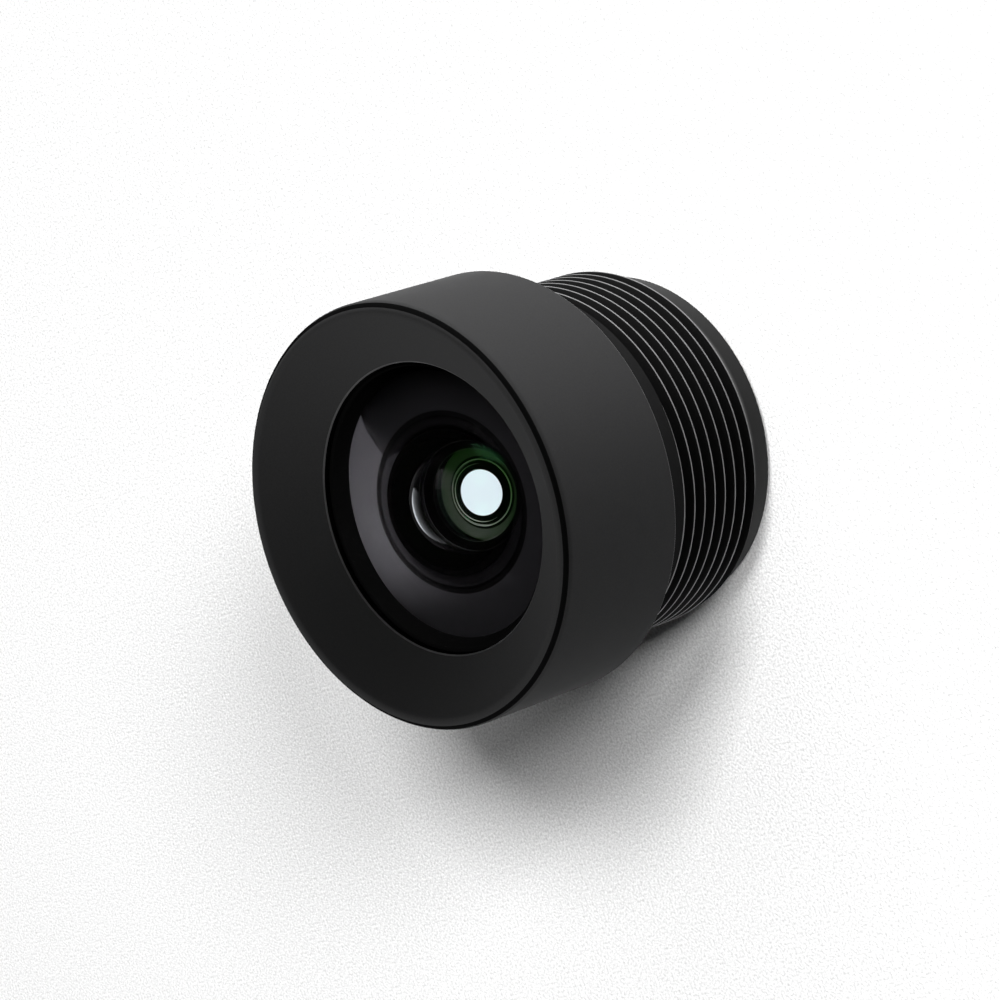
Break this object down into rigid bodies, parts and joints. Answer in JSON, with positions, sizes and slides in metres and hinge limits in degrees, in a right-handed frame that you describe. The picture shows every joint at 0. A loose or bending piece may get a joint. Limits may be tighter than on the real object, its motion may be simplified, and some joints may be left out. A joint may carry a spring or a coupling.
{
  "type": "m12 board camera lens",
  "caption": "Small fixed-focus lens for a board camera: black barrel with a wide head, sunk cone, domed front glass and a fine outer thread.",
  "frame": {"origin": "centre of the rear end face, which the lens stands on", "axes": "+Z is the optical axis from the rear end towards the scene; X and Y are free because the lens is turned"},
  "size_m": [0.0138, 0.0138, 0.0116],
  "materials": {
    "barrel_black": "satin black anodised aluminium",
    "ring_black": "dull black anodised aluminium",
    "front_glass": "polished and coated against reflections",
    "inner_glass": "polished and coated against reflections",
    "filter_glass": "polished, with an infrared cut coating",
    "film_black": "dull black film",
    "seal_black": "moulded rubber"
  },
  "bodies": {
    "root": {"lens_barrel": "barrel_black", "front_retaining_ring": "ring_black", "front_o_ring": "seal_black", "element_1": "front_glass", "front_spacer": "ring_black", "front_light_shield": "film_black", "element_2": "inner_glass", "grooved_spacer": "ring_black", "element_3": "inner_glass", "aperture_stop": "ring_black", "stop_spacer": "ring_black", "element_4": "inner_glass", "shim_ring": "ring_black", "element_5": "inner_glass", "rear_light_shield": "film_black", "rear_spacer": "ring_black", "element_6": "inner_glass", "ir_cut_filter": "filter_glass", "rear_retaining_ring": "ring_black"}
  },
  "joints": []
}
